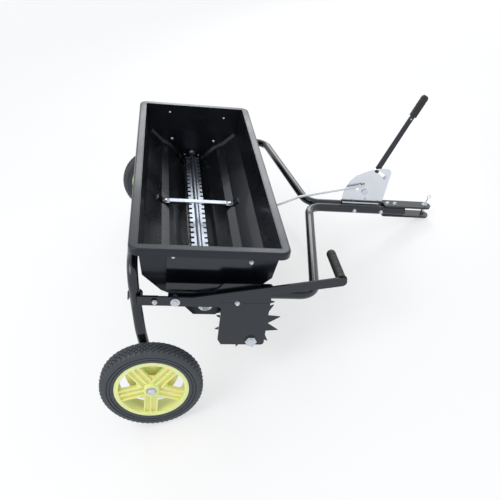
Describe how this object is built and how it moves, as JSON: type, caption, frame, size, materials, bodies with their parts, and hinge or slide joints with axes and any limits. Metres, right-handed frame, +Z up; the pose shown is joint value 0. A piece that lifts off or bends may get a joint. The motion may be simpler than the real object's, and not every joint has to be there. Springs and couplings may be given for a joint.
{
  "type": "tow-behind aerator spreader",
  "caption": "Towed lawn spreader: a long open drop hopper with agitator over a reel of star spikers, on lifting wheels with a tubular tongue and clevis hitch.",
  "frame": {"origin": "middle of the machine on the floor it stands on", "axes": "+X forward to the hitch, +Y to the left side, +Z up"},
  "size_m": [1.0252, 1.1154, 0.4643],
  "materials": {
    "hopper_enamel": "satin black powder coat on folded sheet",
    "frame_enamel": "gloss black powder coat",
    "zinc_plate": "bright zinc plating",
    "tyre_rubber": "moulded rubber",
    "wheel_plastic": "moulded yellow-green plastic",
    "grip_vinyl": "dipped black vinyl"
  },
  "bodies": {
    "chassis": {"hopper_body": "hopper_enamel", "hopper_rim": "hopper_enamel", "shutter_guides": "frame_enamel", "hopper_brace": "zinc_plate", "brace_brackets": "frame_enamel", "agitator_bearing_right": "zinc_plate", "agitator_bearing_left": "zinc_plate", "side_plate_right": "frame_enamel", "side_plate_left": "frame_enamel", "end_bracket_right": "frame_enamel", "end_bracket_left": "frame_enamel", "frame_tube_right": "frame_enamel", "frame_tube_left": "frame_enamel", "hitch_strap_upper": "frame_enamel", "hitch_strap_lower": "frame_enamel", "pivot_pin_right": "zinc_plate", "pivot_pin_left": "zinc_plate", "quadrant": "zinc_plate", "flow_pivot": "zinc_plate"},
    "wheel_carrier": {"wheel_bail": "frame_enamel", "axle_right": "zinc_plate", "axle_left": "zinc_plate", "transport_lever": "frame_enamel", "lever_grip": "grip_vinyl", "carrier_link": "frame_enamel", "leg_clamp_right": "frame_enamel", "leg_clamp_left": "frame_enamel"},
    "wheel_right": {"tyre_right": "tyre_rubber", "wheel_rim_right": "wheel_plastic"},
    "wheel_left": {"tyre_left": "tyre_rubber", "wheel_rim_left": "wheel_plastic"},
    "spiker_reel": {"spiker_shaft": "zinc_plate", "spiker_discs": "frame_enamel"},
    "agitator": {"agitator_shaft": "zinc_plate", "agitator_blades": "zinc_plate"},
    "flow_lever": {"flow_lever": "frame_enamel", "flow_lever_grip": "grip_vinyl"},
    "control_rod": {"control_rod": "zinc_plate"},
    "rate_shutter": {"rate_shutter": "frame_enamel"}
  },
  "joints": [
    {"name": "carrier_lift", "type": "hinge", "parent": "chassis", "child": "wheel_carrier", "pos_m": [-0.26832, 0, 0.3023], "axis": [0, -1, 0], "range_deg": [0, 100]},
    {"name": "wheel_right_spin", "type": "hinge", "parent": "wheel_carrier", "child": "wheel_right", "pos_m": [-0.38862, -0.5287, 0.124], "axis": [0, 1, 0], "continuous": true},
    {"name": "wheel_left_spin", "type": "hinge", "parent": "wheel_carrier", "child": "wheel_left", "pos_m": [-0.38862, 0.5287, 0.124], "axis": [0, 1, 0], "continuous": true},
    {"name": "reel_spin", "type": "hinge", "parent": "chassis", "child": "spiker_reel", "pos_m": [-0.135, 0, 0.11428], "axis": [0, 1, 0], "continuous": true},
    {"name": "agitator_spin", "type": "hinge", "parent": "chassis", "child": "agitator", "pos_m": [-0.21323, 0, 0.23758], "axis": [0, 1, 0], "continuous": true},
    {"name": "flow_lever_swing", "type": "hinge", "parent": "chassis", "child": "flow_lever", "pos_m": [0.29153, 0, 0.15463], "axis": [0, -1, 0], "range_deg": [0, 50]},
    {"name": "rod_eye", "type": "hinge", "parent": "flow_lever", "child": "control_rod", "pos_m": [0.29223, 0, 0.18062], "axis": [0, -1, 0], "range_deg": [-55, 5]},
    {"name": "shutter_slide", "type": "slide", "parent": "chassis", "child": "rate_shutter", "axis": [0.9303, 0, -0.3668], "range_m": [-0.022, 0.001]}
  ],
  "couplings": [
    {"joint": "rod_eye", "follows": "flow_lever_swing", "ratio": -1.0374},
    {"joint": "shutter_slide", "follows": "flow_lever_swing", "m_per_rad": -0.024066}
  ]
}
